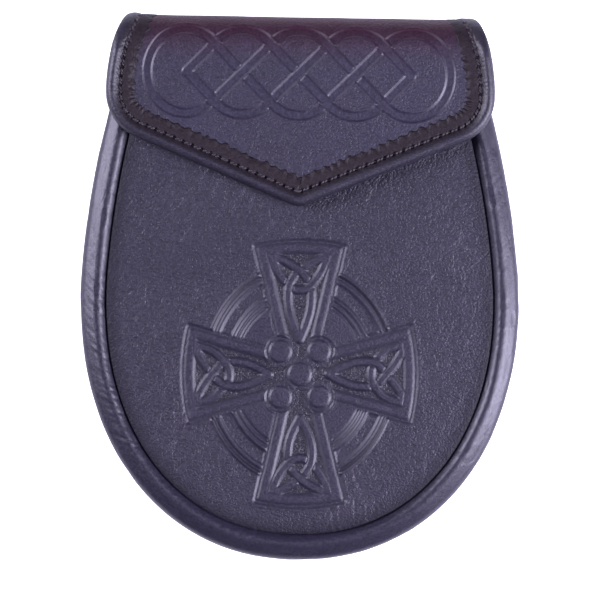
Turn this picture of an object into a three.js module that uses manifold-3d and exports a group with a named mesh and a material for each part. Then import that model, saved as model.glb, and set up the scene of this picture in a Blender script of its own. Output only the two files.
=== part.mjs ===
// A leather sporran pouch that lies on its back. Millimetres.
// X runs across the pouch, Y up to the fold of the flap, Z out of its front.
// The origin is on the rest plane, under the middle of the outline.

import * as THREE from "three";
import { mergeVertices } from "three/addons/utils/BufferGeometryUtils.js";
import Module from "manifold-3d";

const wasm = await Module();
wasm.setup();

// Leather and the gaps between pieces
const LEATHER = 2;
const FLAP_LEATHER = 2.6;
const GAP = 0.3;

// Outline of the body, seen from the front: two half ovals that meet at the widest line
const HALF_WIDTH = 86.3;
const WIDEST_Y = -5.7;
const LOWER_DEPTH = 102.3;
const LOWER_POWER = 2.15;
const UPPER_REACH = 205;
const UPPER_POWER = 1.6;
const MOUTH_Y = 92;
const GUSSET_TOP_Y = 93;

// Panels: how far they stand in from the outline, and their heights
const BACK_PANEL_INSET = 10.9;
const BACK_PANEL_Z = 6.6;
const FRONT_PLATEAU_Z = 33.2;
const FRONT_PANEL_RIM = [
  { inset: 10.8, top: 31.5 },
  { inset: 12.2, top: 32.1 },
  { inset: 15.0, top: 32.8 },
  { inset: 20.0, top: 33.2 },
];

// Middle line of the gusset wall, from its back flange round the roll at the front to its front flange
const GUSSET_WALL = [
  { inset: 16.0, height: 9.9 },
  { inset: 9.4, height: 9.9 },
  { inset: 9.2, height: 3.4 },
  { inset: 7.4, height: 1.0 },
  { inset: 3.6, height: 1.0 },
  { inset: 1.6, height: 2.8 },
  { inset: 1.0, height: 7.0 },
  { inset: 1.0, height: 27.0 },
  { inset: 1.6, height: 29.9 },
  { inset: 3.3, height: 31.9 },
  { inset: 5.4, height: 32.6 },
  { inset: 7.4, height: 32.3 },
  { inset: 8.9, height: 31.2 },
  { inset: 9.4, height: 28.2 },
  { inset: 16.0, height: 28.2 },
];
const GUSSET_STATIONS = 46;
const PANEL_STATIONS = 52;

// Path of the flap's middle surface, from the front over the mouth to the back
const FOLD_Y = 93.2;
const FRONT_Z = 37.5;
const FRONT_SLOPE = 1 / 62;
const FRONT_BEND = 11;
const BACK_BEND = 9;
const BACK_Z = 5;
const RISE = FRONT_Z - FRONT_BEND - BACK_BEND - BACK_Z;
const FLAP_END = 156;

// Outline of the flap over its binding.
// along is the distance up the flap, over the fold and down the back.
const TIP_Y = 30.2;
const TIP_RADIUS = 11;
const CORNER_RADIUS = 19;
const LOWER_EDGE_ANGLE = THREE.MathUtils.degToRad(22.6);
const FLAP_HALF_WIDTH = 76.4;
const FLAP_SIDE = [
  { halfWidth: 66.5, along: 131.0 },
  { halfWidth: 66.8, along: 127.0 },
  { halfWidth: 67.2, along: 123.0 },
  { halfWidth: 67.6, along: 117.0 },
  { halfWidth: 68.2, along: 110.5 },
  { halfWidth: 69.6, along: 106.2 },
  { halfWidth: 71.2, along: 101.8 },
  { halfWidth: 72.9, along: 97.5 },
  { halfWidth: 74.3, along: 93.2 },
  { halfWidth: 75.8, along: 85.1 },
];
const FLAP_TONGUE = [
  { halfWidth: 53.5, along: FLAP_END },
  { halfWidth: 53.5, along: 138.6 },
  { halfWidth: 58.0, along: 135.6 },
  { halfWidth: 63.6, along: 133.0 },
];

// Section of the binding: inset from its outer edge, and offset from the flap's middle surface
const FLAP_INSET = 2.5;
const BINDING_SECTION = [
  { inset: 2.2, offset: 1.6 },
  { inset: 10.3, offset: 1.6 },
  { inset: 10.3, offset: 2.7 },
  { inset: 5.8, offset: 2.9 },
  { inset: 4.0, offset: 3.6 },
  { inset: 2.2, offset: 3.8 },
  { inset: 0.7, offset: 2.9 },
  { inset: 0.0, offset: 1.0 },
  { inset: 0.0, offset: -1.0 },
  { inset: 0.9, offset: -2.4 },
  { inset: 2.6, offset: -2.9 },
  { inset: 7.0, offset: -2.9 },
  { inset: 7.0, offset: -1.6 },
  { inset: 2.2, offset: -1.6 },
];

// Raised interlace on the flap: five loops between two rows of arcs
const LACE = {
  centreX: 0,
  centreAlong: 82.8,
  pitch: 22.1,
  halfHeight: 16.4,
  bend: 13.9,
  endReach: 15.1,
  halfWidth: 1.7,
  height: 0.5,
};

// Raised ringed cross on the front panel
const CROSS = {
  centreY: -34.8,
  verticalReach: 51,
  verticalWaist: 8.5,
  verticalFlare: 0.235,
  verticalStart: 15.2,
  sideReach: 44.8,
  sideWaist: 9.7,
  sideFlare: 0.27,
  sideStart: 12.5,
  band: 3.4,
  bossX: 7.7,
  bossY: 9.0,
  bossRadius: 4.3,
  ringX: 37.6,
  ringY: 43.0,
  height: 0.6,
};
const CROSS_RINGS = [
  { fraction: 0.985, halfWidth: 0.5, from: 27, to: 64 },
  { fraction: 0.935, halfWidth: 0.9, from: 24, to: 67 },
  { fraction: 0.745, halfWidth: 1.5, from: 30, to: 61 },
];
const KNOTS = [
  { x: 0, y: 34, halfWidth: 6.6, halfLength: 13.5, turn: 0 },
  { x: 0, y: -34, halfWidth: 6.6, halfLength: 13.5, turn: 180 },
  { x: 29.5, y: 0, halfWidth: 6.6, halfLength: 11.5, turn: -90 },
  { x: -29.5, y: 0, halfWidth: 6.6, halfLength: 11.5, turn: 90 },
];

// Press stud under the flap
const STUD = { y: 50, radius: 7, clearance: GAP };

// Strap loops on the back panel: profile along Y, one loop each side
const LOOP = { width: 25, centreX: 33, bottomY: 24, topY: 72, foot: 7, ramp: 5 };

// Rings of points joined into one closed body, with a flat cap at each end
// unless the rings close on themselves
function loft(rings, closed = false) {
  const count = rings[0].length;
  const positions = rings.flat().flatMap((p) => [p.x, p.y, p.z]);
  const triangles = [];
  const last = closed ? rings.length : rings.length - 1;
  for (let i = 0; i < last; i++) {
    const a = i * count;
    const b = ((i + 1) % rings.length) * count;
    for (let j = 0; j < count; j++) {
      const k = (j + 1) % count;
      triangles.push(a + j, a + k, b + k);
      triangles.push(a + j, b + k, b + j);
    }
  }
  if (!closed) {
    triangles.push(...capTriangles(rings[0]).reverse());
    const end = (rings.length - 1) * count;
    triangles.push(...capTriangles(rings.at(-1)).map((i) => i + end));
  }
  const geometry = new THREE.BufferGeometry();
  geometry.setAttribute("position", new THREE.Float32BufferAttribute(positions, 3));
  geometry.setIndex(triangles);
  return facingOut(geometry);
}

// Triangles of a flat ring, turned the way that the ring runs
function capTriangles(ring) {
  const normal = new THREE.Vector3();
  ring.forEach((p, i) => normal.add(p.clone().cross(ring[(i + 1) % ring.length])));
  normal.normalize();
  const side = ring[1].clone().sub(ring[0]);
  side.addScaledVector(normal, -side.dot(normal)).normalize();
  const up = normal.clone().cross(side);
  const flat = ring.map((p) => new THREE.Vector2(p.dot(side), p.dot(up)));
  return THREE.ShapeUtils.triangulateShape(flat, []).flat();
}

// The geometry with its faces turned outwards, judged by its signed volume
function facingOut(geometry) {
  const at = geometry.getAttribute("position");
  const index = geometry.getIndex().array;
  const corner = (i) => new THREE.Vector3().fromBufferAttribute(at, index[i]);
  let volume = 0;
  for (let i = 0; i < index.length; i += 3) {
    volume += corner(i).dot(corner(i + 1).cross(corner(i + 2)));
  }
  if (volume < 0) {
    for (let i = 0; i < index.length; i += 3) {
      [index[i + 1], index[i + 2]] = [index[i + 2], index[i + 1]];
    }
  }
  return geometry;
}

// A geometry as a solid that can be joined and cut
function solid(geometry) {
  const bare = geometry.clone();
  bare.deleteAttribute("normal");
  bare.deleteAttribute("uv");
  const merged = mergeVertices(bare, 1e-4);
  return new wasm.Manifold(
    new wasm.Mesh({
      numProp: 3,
      vertProperties: new Float32Array(merged.getAttribute("position").array),
      triVerts: new Uint32Array(merged.getIndex().array),
    }),
  );
}

function geometryOf(manifold) {
  const mesh = manifold.getMesh();
  const geometry = new THREE.BufferGeometry();
  geometry.setAttribute("position", new THREE.BufferAttribute(mesh.vertProperties, 3));
  geometry.setIndex(new THREE.BufferAttribute(mesh.triVerts, 1));
  return geometry;
}

function joined(base, pieces) {
  return geometryOf(pieces.reduce((whole, piece) => whole.add(solid(piece)), solid(base)));
}

// The body's outline from the left end of the mouth, round the bottom, to the right end
class BodyOutline extends THREE.Curve {
  constructor(topY) {
    super();
    const rise = (topY - WIDEST_Y) / UPPER_REACH;
    this.topAngle = Math.asin(rise ** (UPPER_POWER / 2));
  }

  getPoint(t) {
    const angle = THREE.MathUtils.lerp(this.topAngle, -Math.PI / 2, 1 - Math.abs(2 * t - 1));
    const power = 2 / (angle < 0 ? LOWER_POWER : UPPER_POWER);
    const reach = angle < 0 ? -LOWER_DEPTH : UPPER_REACH;
    const x = HALF_WIDTH * Math.max(0, Math.cos(angle)) ** power;
    const y = WIDEST_Y + reach * Math.abs(Math.sin(angle)) ** power;
    return new THREE.Vector3(t < 0.5 ? -x : x, y, 0);
  }
}

// Stations along the outline, each with its point and its inward direction
function stations(topY, count) {
  const outline = new BodyOutline(topY);
  return Array.from({ length: count + 1 }, (_, i) => {
    const point = outline.getPointAt(i / count);
    const along = outline.getTangentAt(i / count);
    return { point, inward: new THREE.Vector3(-along.y, along.x, 0).normalize() };
  });
}

// A wall's closed section: its middle line offset to both sides, with mitred corners
function thicken(line, thickness) {
  const half = thickness / 2;
  const normals = line.slice(1).map((p, i) => {
    const step = p.clone().sub(line[i]).normalize();
    return new THREE.Vector2(-step.y, step.x);
  });
  const offsets = line.map((_, i) => {
    const before = normals[Math.max(0, i - 1)];
    const after = normals[Math.min(normals.length - 1, i)];
    const mitre = before.clone().add(after).normalize();
    return mitre.multiplyScalar(half / mitre.dot(after));
  });
  const outer = line.map((p, i) => p.clone().add(offsets[i]));
  const inner = line.map((p, i) => p.clone().sub(offsets[i]));
  return outer.concat(inner.reverse());
}

function gusset() {
  const line = GUSSET_WALL.map((row) => new THREE.Vector2(row.inset, row.height));
  const section = thicken(line, LEATHER);
  const rings = stations(GUSSET_TOP_Y, GUSSET_STATIONS).map(({ point, inward }) =>
    section.map((p) => point.clone().addScaledVector(inward, p.x).setZ(p.y)),
  );
  return loft(rings);
}

// Everything above the mouth line, cut off the panels
function aboveMouth() {
  const depth = 60;
  const box = new THREE.BoxGeometry(4 * HALF_WIDTH, depth, 4 * FRONT_Z);
  box.translate(0, MOUTH_Y + depth / 2, 0);
  return solid(box);
}

function frontPanel() {
  const outline = stations(GUSSET_TOP_Y + 6, PANEL_STATIONS);
  const ring = (inset, z) =>
    outline.map(({ point, inward }) => point.clone().addScaledVector(inward, inset).setZ(z));
  const under = FRONT_PANEL_RIM.map((row) => ring(row.inset, row.top - LEATHER)).reverse();
  const over = FRONT_PANEL_RIM.map((row) => ring(row.inset, row.top));
  const sheet = solid(loft(under.concat(over))).subtract(aboveMouth());
  return joined(geometryOf(sheet), crossRelief());
}

function backPanel() {
  const outline = stations(GUSSET_TOP_Y + 6, PANEL_STATIONS);
  const shape = new THREE.Shape(
    outline.map(({ point, inward }) => {
      const p = point.clone().addScaledVector(inward, BACK_PANEL_INSET);
      return new THREE.Vector2(p.x, p.y);
    }),
  );
  const plate = new THREE.ExtrudeGeometry(shape, { depth: LEATHER, bevelEnabled: false });
  plate.translate(0, 0, BACK_PANEL_Z);
  return geometryOf(solid(plate).subtract(aboveMouth()));
}

// A raised strip along flat points, from a little inside the surface to its height above it.
// place(x, y, lift) puts a flat point on the surface.
function strip(points, halfWidth, height, place, closed = false) {
  const depth = 0.5;
  const shoulder = 0.8;
  const count = points.length;
  const direction = (i, j) => points[j].clone().sub(points[i]).normalize();
  const rings = points.map((p, i) => {
    const previous = closed ? (i + count - 1) % count : Math.max(0, i - 1);
    const next = closed ? (i + 1) % count : Math.min(count - 1, i + 1);
    const before = previous === i ? direction(i, next) : direction(previous, i);
    const after = next === i ? before : direction(i, next);
    const along = before.clone().add(after).normalize();
    const side = new THREE.Vector2(-along.y, along.x);
    const reach = halfWidth / Math.max(0.6, along.dot(after));
    const at = (share, lift) => {
      const q = p.clone().addScaledVector(side, share * reach);
      return place(q.x, q.y, lift);
    };
    return [at(-1, -depth), at(1, -depth), at(shoulder, height), at(-shoulder, height)];
  });
  return loft(rings, closed);
}

function arcPoints(centreX, centreY, radiusX, radiusY, fromDegrees, toDegrees, steps) {
  return Array.from({ length: steps + 1 }, (_, i) => {
    const angle = THREE.MathUtils.degToRad(
      THREE.MathUtils.lerp(fromDegrees, toDegrees, i / steps),
    );
    return new THREE.Vector2(
      centreX + radiusX * Math.cos(angle),
      centreY + radiusY * Math.sin(angle),
    );
  });
}

// One arm of the cross: out along one flared side, over the end and back, from boss to boss
function armPoints(reach, waist, flare, start, bossOut, bossAcross) {
  const halfBand = CROSS.band / 2;
  const across = (r) => waist + flare * (r - start) - halfBand;
  const bow = 1.5;
  const tip = reach - halfBand;
  const side = [
    new THREE.Vector2(bossAcross, bossOut),
    new THREE.Vector2(across(bossOut + 6), bossOut + 6),
    new THREE.Vector2(across(tip), tip),
  ];
  const end = new THREE.Vector2(across(tip) / 2, tip + 0.75 * bow);
  const half = side.concat([end]);
  const mirrored = half.map((p) => new THREE.Vector2(-p.x, p.y)).reverse();
  return half.concat([new THREE.Vector2(0, tip + bow)], mirrored);
}

function turned(points, degrees, x = 0, y = 0) {
  const angle = THREE.MathUtils.degToRad(degrees);
  const zero = new THREE.Vector2();
  return points.map((p) => p.clone().rotateAround(zero, angle).add(new THREE.Vector2(x, y)));
}

// A three-lobed knot, drawn as one line that crosses itself three times
function knotPoints(halfWidth, halfLength) {
  const steps = 30;
  return Array.from({ length: steps }, (_, i) => {
    const t = (2 * Math.PI * i) / steps;
    const x = (Math.sin(t) + 2 * Math.sin(2 * t)) / 2.74;
    const y = -(Math.cos(t) - 2 * Math.cos(2 * t)) / 3;
    return new THREE.Vector2(halfWidth * x, halfLength * y);
  });
}

function crossRelief() {
  const place = (x, y, lift) =>
    new THREE.Vector3(x, y + CROSS.centreY, FRONT_PLATEAU_Z + lift);
  const band = (points, halfWidth, closed) =>
    strip(points, halfWidth, CROSS.height, place, closed);
  const upright = armPoints(
    CROSS.verticalReach,
    CROSS.verticalWaist,
    CROSS.verticalFlare,
    CROSS.verticalStart,
    CROSS.bossY,
    CROSS.bossX,
  );
  const level = armPoints(
    CROSS.sideReach,
    CROSS.sideWaist,
    CROSS.sideFlare,
    CROSS.sideStart,
    CROSS.bossX,
    CROSS.bossY,
  );
  const arms = [
    turned(upright, 0),
    turned(upright, 180),
    turned(level, 90),
    turned(level, -90),
  ].map((points) => band(points, CROSS.band / 2));
  const rings = [0, 1, 2, 3].flatMap((quarter) =>
    CROSS_RINGS.map((row) => {
      const flip = quarter % 2 === 1;
      const from = 90 * quarter + (flip ? 90 - row.to : row.from);
      const to = 90 * quarter + (flip ? 90 - row.from : row.to);
      const a = row.fraction * CROSS.ringX;
      const b = row.fraction * CROSS.ringY;
      return band(arcPoints(0, 0, a, b, from, to, 7), row.halfWidth);
    }),
  );
  const knots = KNOTS.map((row) =>
    band(turned(knotPoints(row.halfWidth, row.halfLength), row.turn, row.x, row.y), 0.9, true),
  );
  const boss = (x, y) => {
    const dome = [
      new THREE.Vector2(0, -0.5),
      new THREE.Vector2(CROSS.bossRadius, -0.5),
      new THREE.Vector2(CROSS.bossRadius, 0.5),
      new THREE.Vector2(0.6 * CROSS.bossRadius, 1.1),
      new THREE.Vector2(0, 1.3),
    ];
    const geometry = new THREE.LatheGeometry(dome, 14);
    geometry.rotateX(Math.PI / 2);
    geometry.translate(x, y + CROSS.centreY, FRONT_PLATEAU_Z);
    return geometry;
  };
  const bosses = [
    boss(0, 0),
    boss(CROSS.bossX, CROSS.bossY),
    boss(-CROSS.bossX, CROSS.bossY),
    boss(CROSS.bossX, -CROSS.bossY),
    boss(-CROSS.bossX, -CROSS.bossY),
  ];
  return arms.concat(rings, knots, bosses);
}

// A point of the flap: x across, along its length, and offset out from its middle surface
function onFlap(x, along, offset) {
  const frontArc = FRONT_BEND * (Math.PI / 2);
  const backArc = BACK_BEND * (Math.PI / 2);
  const past = along - FOLD_Y;
  const foldTop = FOLD_Y + FRONT_BEND;
  if (past <= 0) {
    const height = FRONT_Z + FRONT_SLOPE * past + offset;
    return new THREE.Vector3(x, along - FRONT_SLOPE * offset, height);
  }
  if (past <= frontArc) {
    const angle = past / FRONT_BEND;
    const radius = FRONT_BEND + offset;
    return new THREE.Vector3(
      x,
      FOLD_Y + radius * Math.sin(angle),
      FRONT_Z - FRONT_BEND + radius * Math.cos(angle),
    );
  }
  if (past <= frontArc + RISE) {
    return new THREE.Vector3(x, foldTop + offset, FRONT_Z - FRONT_BEND - (past - frontArc));
  }
  if (past <= frontArc + RISE + backArc) {
    const angle = (past - frontArc - RISE) / BACK_BEND;
    const radius = BACK_BEND + offset;
    return new THREE.Vector3(
      x,
      foldTop - BACK_BEND + radius * Math.cos(angle),
      BACK_Z + BACK_BEND - radius * Math.sin(angle),
    );
  }
  const back = past - frontArc - RISE - backArc;
  return new THREE.Vector3(x, foldTop - BACK_BEND - back, BACK_Z - offset);
}

// Right half of the flap's outer edge, from the back down to the tip, with its inward directions,
// which run straight across where the flap bends
function flapEdge() {
  const side = FLAP_SIDE.map((row) => new THREE.Vector2(row.halfWidth, row.along));
  const slope = Math.tan(LOWER_EDGE_ANGLE);
  const sweep = Math.PI / 2 - LOWER_EDGE_ANGLE;
  const cornerAlong = TIP_Y + FLAP_HALF_WIDTH * slope + CORNER_RADIUS * Math.tan(sweep / 2);
  const degrees = THREE.MathUtils.radToDeg(sweep);
  const corner = arcPoints(
    FLAP_HALF_WIDTH - CORNER_RADIUS,
    cornerAlong,
    CORNER_RADIUS,
    CORNER_RADIUS,
    0,
    -degrees,
    7,
  );
  const tip = arcPoints(
    0,
    TIP_Y + TIP_RADIUS / Math.cos(LOWER_EDGE_ANGLE),
    TIP_RADIUS,
    TIP_RADIUS,
    -degrees,
    -90,
    3,
  );
  const middle = [1, 2].map((i) => corner.at(-1).clone().lerp(tip[0], i / 3));
  const points = side.concat(corner, middle, tip);
  return points.map((p, i) => {
    const before = points[Math.max(0, i - 1)];
    const after = points[Math.min(points.length - 1, i + 1)];
    const step = after.clone().sub(before).normalize();
    const inward = new THREE.Vector2(step.y, -step.x);
    if (p.y >= FOLD_Y) inward.set(-1, 0);
    if (p === tip.at(-1)) inward.set(0, 1);
    return { point: p, inward };
  });
}

function flap() {
  const edge = flapEdge().map(({ point, inward }) =>
    point.clone().addScaledVector(inward, FLAP_INSET),
  );
  const tongue = FLAP_TONGUE.map((row) => new THREE.Vector2(row.halfWidth, row.along));
  const rows = tongue.concat(edge.slice(0, -1));
  const half = FLAP_LEATHER / 2;
  const columns = [-1, -0.5, 0, 0.5, 1];
  const rings = rows.map((row) => {
    const over = columns.map((c) => onFlap(c * row.x, row.y, half));
    const under = columns.map((c) => onFlap(c * row.x, row.y, -half)).reverse();
    return over.concat(under);
  });
  return joined(loft(rings), interlaceRelief());
}

// Middle lines of the interlace. An arc runs 45 degrees to each side of its crest, and straight
// runs carry it to the other row of arcs two places on; the outermost arcs close as round ends,
// and the ones beside them meet in a point.
function lacePaths() {
  const { pitch, halfHeight, bend, endReach } = LACE;
  const crest = (k, upper) => new THREE.Vector2((k - 3) * pitch, upper ? halfHeight : -halfHeight);
  const half = (k, upper, rightward) => {
    const top = crest(k, upper);
    const sign = upper ? 1 : -1;
    const points = arcPoints(top.x, top.y - sign * bend, bend, sign * bend, 90, 45, 4);
    return rightward ? points : points.map((p) => new THREE.Vector2(2 * top.x - p.x, p.y));
  };
  const runs = [1, 2, 3].flatMap((k) =>
    [true, false].map((upper) =>
      half(k, upper, true).concat(half(k + 2, !upper, false).reverse()),
    ),
  );
  const pointed = (k, rightward) => {
    const upper = half(k, true, rightward);
    const corner = upper.at(-1);
    const reach = rightward ? corner.y : -corner.y;
    const point = new THREE.Vector2(corner.x + reach, 0);
    return upper.concat([point], half(k, false, rightward).reverse());
  };
  const round = (k, from, to) =>
    arcPoints(crest(k, true).x, 0, endReach, halfHeight, from, to, 14);
  return runs.concat([pointed(4, true), pointed(2, false), round(5, 90, -90), round(1, 90, 270)]);
}

function interlaceRelief() {
  const place = (x, y, lift) =>
    onFlap(x + LACE.centreX, y + LACE.centreAlong, FLAP_LEATHER / 2 + lift);
  return lacePaths().map((points) => strip(points, LACE.halfWidth, LACE.height, place));
}

function flapBinding() {
  const right = flapEdge();
  const left = right
    .slice(0, -1)
    .map(({ point, inward }) => ({
      point: new THREE.Vector2(-point.x, point.y),
      inward: new THREE.Vector2(-inward.x, inward.y),
    }))
    .reverse();
  const rings = right.concat(left).map(({ point, inward }) =>
    BINDING_SECTION.map((row) => {
      const p = point.clone().addScaledVector(inward, row.inset);
      return onFlap(p.x, p.y, row.offset);
    }),
  );
  return loft(rings);
}

// A flat stud between the front panel and the flap
function flapStud() {
  const bottom = FRONT_PLATEAU_Z + STUD.clearance;
  const flapUnder = onFlap(0, STUD.y - STUD.radius, -FLAP_LEATHER / 2).z;
  const height = flapUnder - STUD.clearance - bottom;
  const stud = new THREE.CylinderGeometry(STUD.radius, STUD.radius, height, 20);
  stud.rotateX(Math.PI / 2);
  stud.translate(0, STUD.y, bottom + height / 2);
  return stud;
}

// A strap loop: two feet on the back panel, and a raised middle that the strap passes under
function strapLoop() {
  const footTop = BACK_PANEL_Z - GAP;
  const { bottomY, topY, foot, ramp } = LOOP;
  const line = [
    new THREE.Vector2(bottomY, footTop - LEATHER / 2),
    new THREE.Vector2(bottomY + foot, footTop - LEATHER / 2),
    new THREE.Vector2(bottomY + foot + ramp, LEATHER / 2),
    new THREE.Vector2(topY - foot - ramp, LEATHER / 2),
    new THREE.Vector2(topY - foot, footTop - LEATHER / 2),
    new THREE.Vector2(topY, footTop - LEATHER / 2),
  ];
  const ring = (x) => thicken(line, LEATHER).map((p) => new THREE.Vector3(x, p.x, p.y));
  return loft([ring(-LOOP.width / 2), ring(LOOP.width / 2)]);
}

const hide = new THREE.MeshStandardMaterial({ color: 0x4b4452, roughness: 0.5, metalness: 0 });
const flapHide = new THREE.MeshStandardMaterial({ color: 0x463e4b, roughness: 0.5, metalness: 0 });
const trim = new THREE.MeshStandardMaterial({ color: 0x37282a, roughness: 0.35, metalness: 0 });
const metal = new THREE.MeshStandardMaterial({ color: 0x8a7048, roughness: 0.4, metalness: 1 });

const pouch = new THREE.Group();

function addPiece(name, geometry, material, x = 0, y = 0) {
  const piece = new THREE.Mesh(geometry, material);
  piece.name = name;
  piece.position.set(x, y, 0);
  pouch.add(piece);
}

addPiece("front_panel", frontPanel(), hide);
addPiece("back_panel", backPanel(), hide);
addPiece("gusset", gusset(), hide);
addPiece("flap", flap(), flapHide);
addPiece("flap_binding", flapBinding(), trim);
addPiece("flap_stud", flapStud(), metal);
addPiece("strap_loop_left", strapLoop(), hide, -LOOP.centreX);
addPiece("strap_loop_right", strapLoop(), hide, LOOP.centreX);

export default pouch;
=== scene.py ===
"""A leather sporran pouch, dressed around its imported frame.

Sizes are in millimetres until a mesh is made."""

import math
from collections import namedtuple

import bmesh
import bpy
import numpy as np
from bpy.props import FloatProperty, FloatVectorProperty, IntProperty, PointerProperty
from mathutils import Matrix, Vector


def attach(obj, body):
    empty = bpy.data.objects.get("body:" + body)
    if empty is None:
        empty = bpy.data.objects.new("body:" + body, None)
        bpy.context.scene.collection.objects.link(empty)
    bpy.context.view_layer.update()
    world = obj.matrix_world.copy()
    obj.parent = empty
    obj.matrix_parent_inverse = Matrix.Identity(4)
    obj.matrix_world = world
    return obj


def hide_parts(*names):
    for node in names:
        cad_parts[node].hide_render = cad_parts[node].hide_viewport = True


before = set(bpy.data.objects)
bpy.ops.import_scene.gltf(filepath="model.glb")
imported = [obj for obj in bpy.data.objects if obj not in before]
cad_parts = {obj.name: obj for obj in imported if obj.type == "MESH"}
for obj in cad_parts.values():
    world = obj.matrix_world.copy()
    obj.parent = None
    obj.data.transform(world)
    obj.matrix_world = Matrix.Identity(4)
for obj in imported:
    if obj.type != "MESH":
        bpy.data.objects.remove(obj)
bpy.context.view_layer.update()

bl_info = {
    "name": "Sporran pouch",
    "version": (1, 0, 0),
    "blender": (4, 5, 0),
    "location": "View3D > Sidebar > Sporran",
    "description": "Builds a leather sporran pouch around its packed frame",
    "category": "Add Mesh",
}

MM = 0.001
SEED = 11
MM_PER_PHOTO_PIXEL = 0.395
PHOTO_PIXELS = 600
# Height at which the lowest leather lies over the table
TABLE_CLEARANCE = 0.03
# Distance given to a point that no tooled line comes near
FAR = 9.0

# Outline of the body, as in the frame
HALF_WIDTH = 86.3
WIDEST_Y = -5.7
LOWER_DEPTH = 102.3
LOWER_POWER = 2.15
UPPER_REACH = 205.0
UPPER_POWER = 1.6
GUSSET_TOP_Y = 93.0
MOUTH_Y = 92.0
PANEL_INSET = 10.45
PLATEAU_Z = 33.2
BACK_PANEL_INSET = 10.95
BACK_PANEL_Z = 6.6
BACK_PANEL_THICK = 2.0

# Path and edge of the flap, as in the frame
FOLD_Y = 93.2
FRONT_Z = 37.5
FRONT_SLOPE = 1 / 62
FRONT_BEND = 11.0
BACK_BEND = 9.0
BACK_Z = 5.0
RISE = FRONT_Z - FRONT_BEND - BACK_BEND - BACK_Z
FLAP_END = 156.0
FLAP_HALF_THICK = 1.3
FLAP_TILT = math.radians(-1.0)
TILT_Y = 88.0
TIP_Y = 30.3
TIP_RADIUS = 8.0
CORNER_RADIUS = 19.0
LOWER_EDGE_ANGLE = math.radians(22.6)
FLAP_HALF_WIDTH = 76.0
FLAP_SHIFT = 0.5

# Half width of the flap over its binding, up the front, over the fold and down the back
FLAP_SIDE = (
    # half_width, along
    (66.1, 131.0), (66.8, 123.0), (67.2, 117.0), (67.8, 110.5), (69.2, 106.2), (70.8, 101.8),
    (72.5, 97.5), (73.9, 93.2), (74.9, 88.0), (75.6, 83.0), (76.0, 78.0),
)
FLAP_TONGUE = (
    # half_width, along
    (63.6, 133.0), (58.0, 135.6), (53.5, 138.6), (53.5, FLAP_END),
)


# Slopes at which a tooled edge starts to lose its grain, and at which it has lost it
BURNISH_FROM = 0.08
BURNISH_FULL = 0.3


def smoothstep(low, high, value):
    """0 before low, 1 past high, and a smooth rise between; low may be the larger."""
    share = np.clip((value - low) / (high - low), 0.0, 1.0)
    return share * share * (3.0 - 2.0 * share)


def bump_of(distance, width):
    """1 on a line, falling smoothly to 0 at the given distance from it."""
    return 1.0 - smoothstep(0.0, width, np.abs(distance))


def softened(grid, passes):
    """A grid of heights with its steps rounded off."""
    for _ in range(passes):
        for axis in (0, 1):
            grid = (np.roll(grid, 1, axis) + 3 * grid + np.roll(grid, -1, axis)) / 5
    return grid


def burnished(relief, x, y):
    """A mask of the steep edges of tooled lines, where the tool has rubbed the grain away."""
    rise_x = np.gradient(relief, axis=1) / np.gradient(x, axis=1)
    rise_y = np.gradient(relief, axis=0) / np.gradient(y, axis=0)
    return softened(smoothstep(BURNISH_FROM, BURNISH_FULL, np.hypot(rise_x, rise_y)), 2)


class Noise:
    """Smooth value noise over a plane, from a seeded lattice that repeats far outside the pouch."""

    SIZE = 256

    def __init__(self, seed):
        self.lattice = np.random.default_rng(seed).random((self.SIZE, self.SIZE)) * 2.0 - 1.0

    def __call__(self, x, y):
        x = np.asarray(x, float) + 1000.0
        y = np.asarray(y, float) + 1000.0
        column = np.floor(x).astype(int)
        row = np.floor(y).astype(int)
        u = smoothstep(0.0, 1.0, x - column)
        v = smoothstep(0.0, 1.0, y - row)
        at = lambda i, j: self.lattice[(row + j) % self.SIZE, (column + i) % self.SIZE]
        low = at(0, 0) * (1 - u) + at(1, 0) * u
        high = at(0, 1) * (1 - u) + at(1, 1) * u
        return low * (1 - v) + high * v


def points_at(x, y, z):
    """Points from grids of x, y and z, which may be spread out over one another."""
    return np.stack(np.broadcast_arrays(x, y, z), axis=-1)


def resample(points, count):
    """count + 1 points at equal steps along a line of points."""
    steps = np.hypot(*np.diff(points, axis=0).T)
    run = np.concatenate([[0.0], np.cumsum(steps)])
    at = np.linspace(0.0, run[-1], count + 1)
    return np.column_stack([np.interp(at, run, points[:, k]) for k in range(points.shape[1])])


def line_inward(points):
    """Unit directions to the left of a line's run, at each of its points."""
    along = np.gradient(points, axis=0)
    along /= np.hypot(along[:, 0], along[:, 1])[:, None]
    return np.column_stack([-along[:, 1], along[:, 0]])


def body_outline(top_y, count):
    """The body's outline from the left end of the mouth, round the bottom, to the right end."""
    top = math.asin(((top_y - WIDEST_Y) / UPPER_REACH) ** (UPPER_POWER / 2))
    angle = np.linspace(top, -math.pi / 2, 3000)
    lower = angle < 0
    power = np.where(lower, 2 / LOWER_POWER, 2 / UPPER_POWER)
    reach = np.where(lower, -LOWER_DEPTH, UPPER_REACH)
    x = HALF_WIDTH * np.clip(np.cos(angle), 0, 1) ** power
    y = WIDEST_Y + reach * np.abs(np.sin(angle)) ** power
    left = np.column_stack([-x, y])
    right = np.column_stack([x, y])[::-1]
    return resample(np.vstack([left, right[1:]]), count)


def distance_to_line(x, y, line):
    """Distance from each point to a line of points, and the index of its nearest segment."""
    best = np.full(x.shape, 1e9)
    nearest = np.zeros(x.shape, int)
    for i in range(len(line) - 1):
        ax, ay = line[i]
        dx, dy = line[i + 1] - line[i]
        length = dx * dx + dy * dy + 1e-12
        share = np.clip(((x - ax) * dx + (y - ay) * dy) / length, 0.0, 1.0)
        distance = np.hypot(x - ax - share * dx, y - ay - share * dy)
        closer = distance < best
        best[closer] = distance[closer]
        nearest[closer] = i
    return best, nearest


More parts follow.
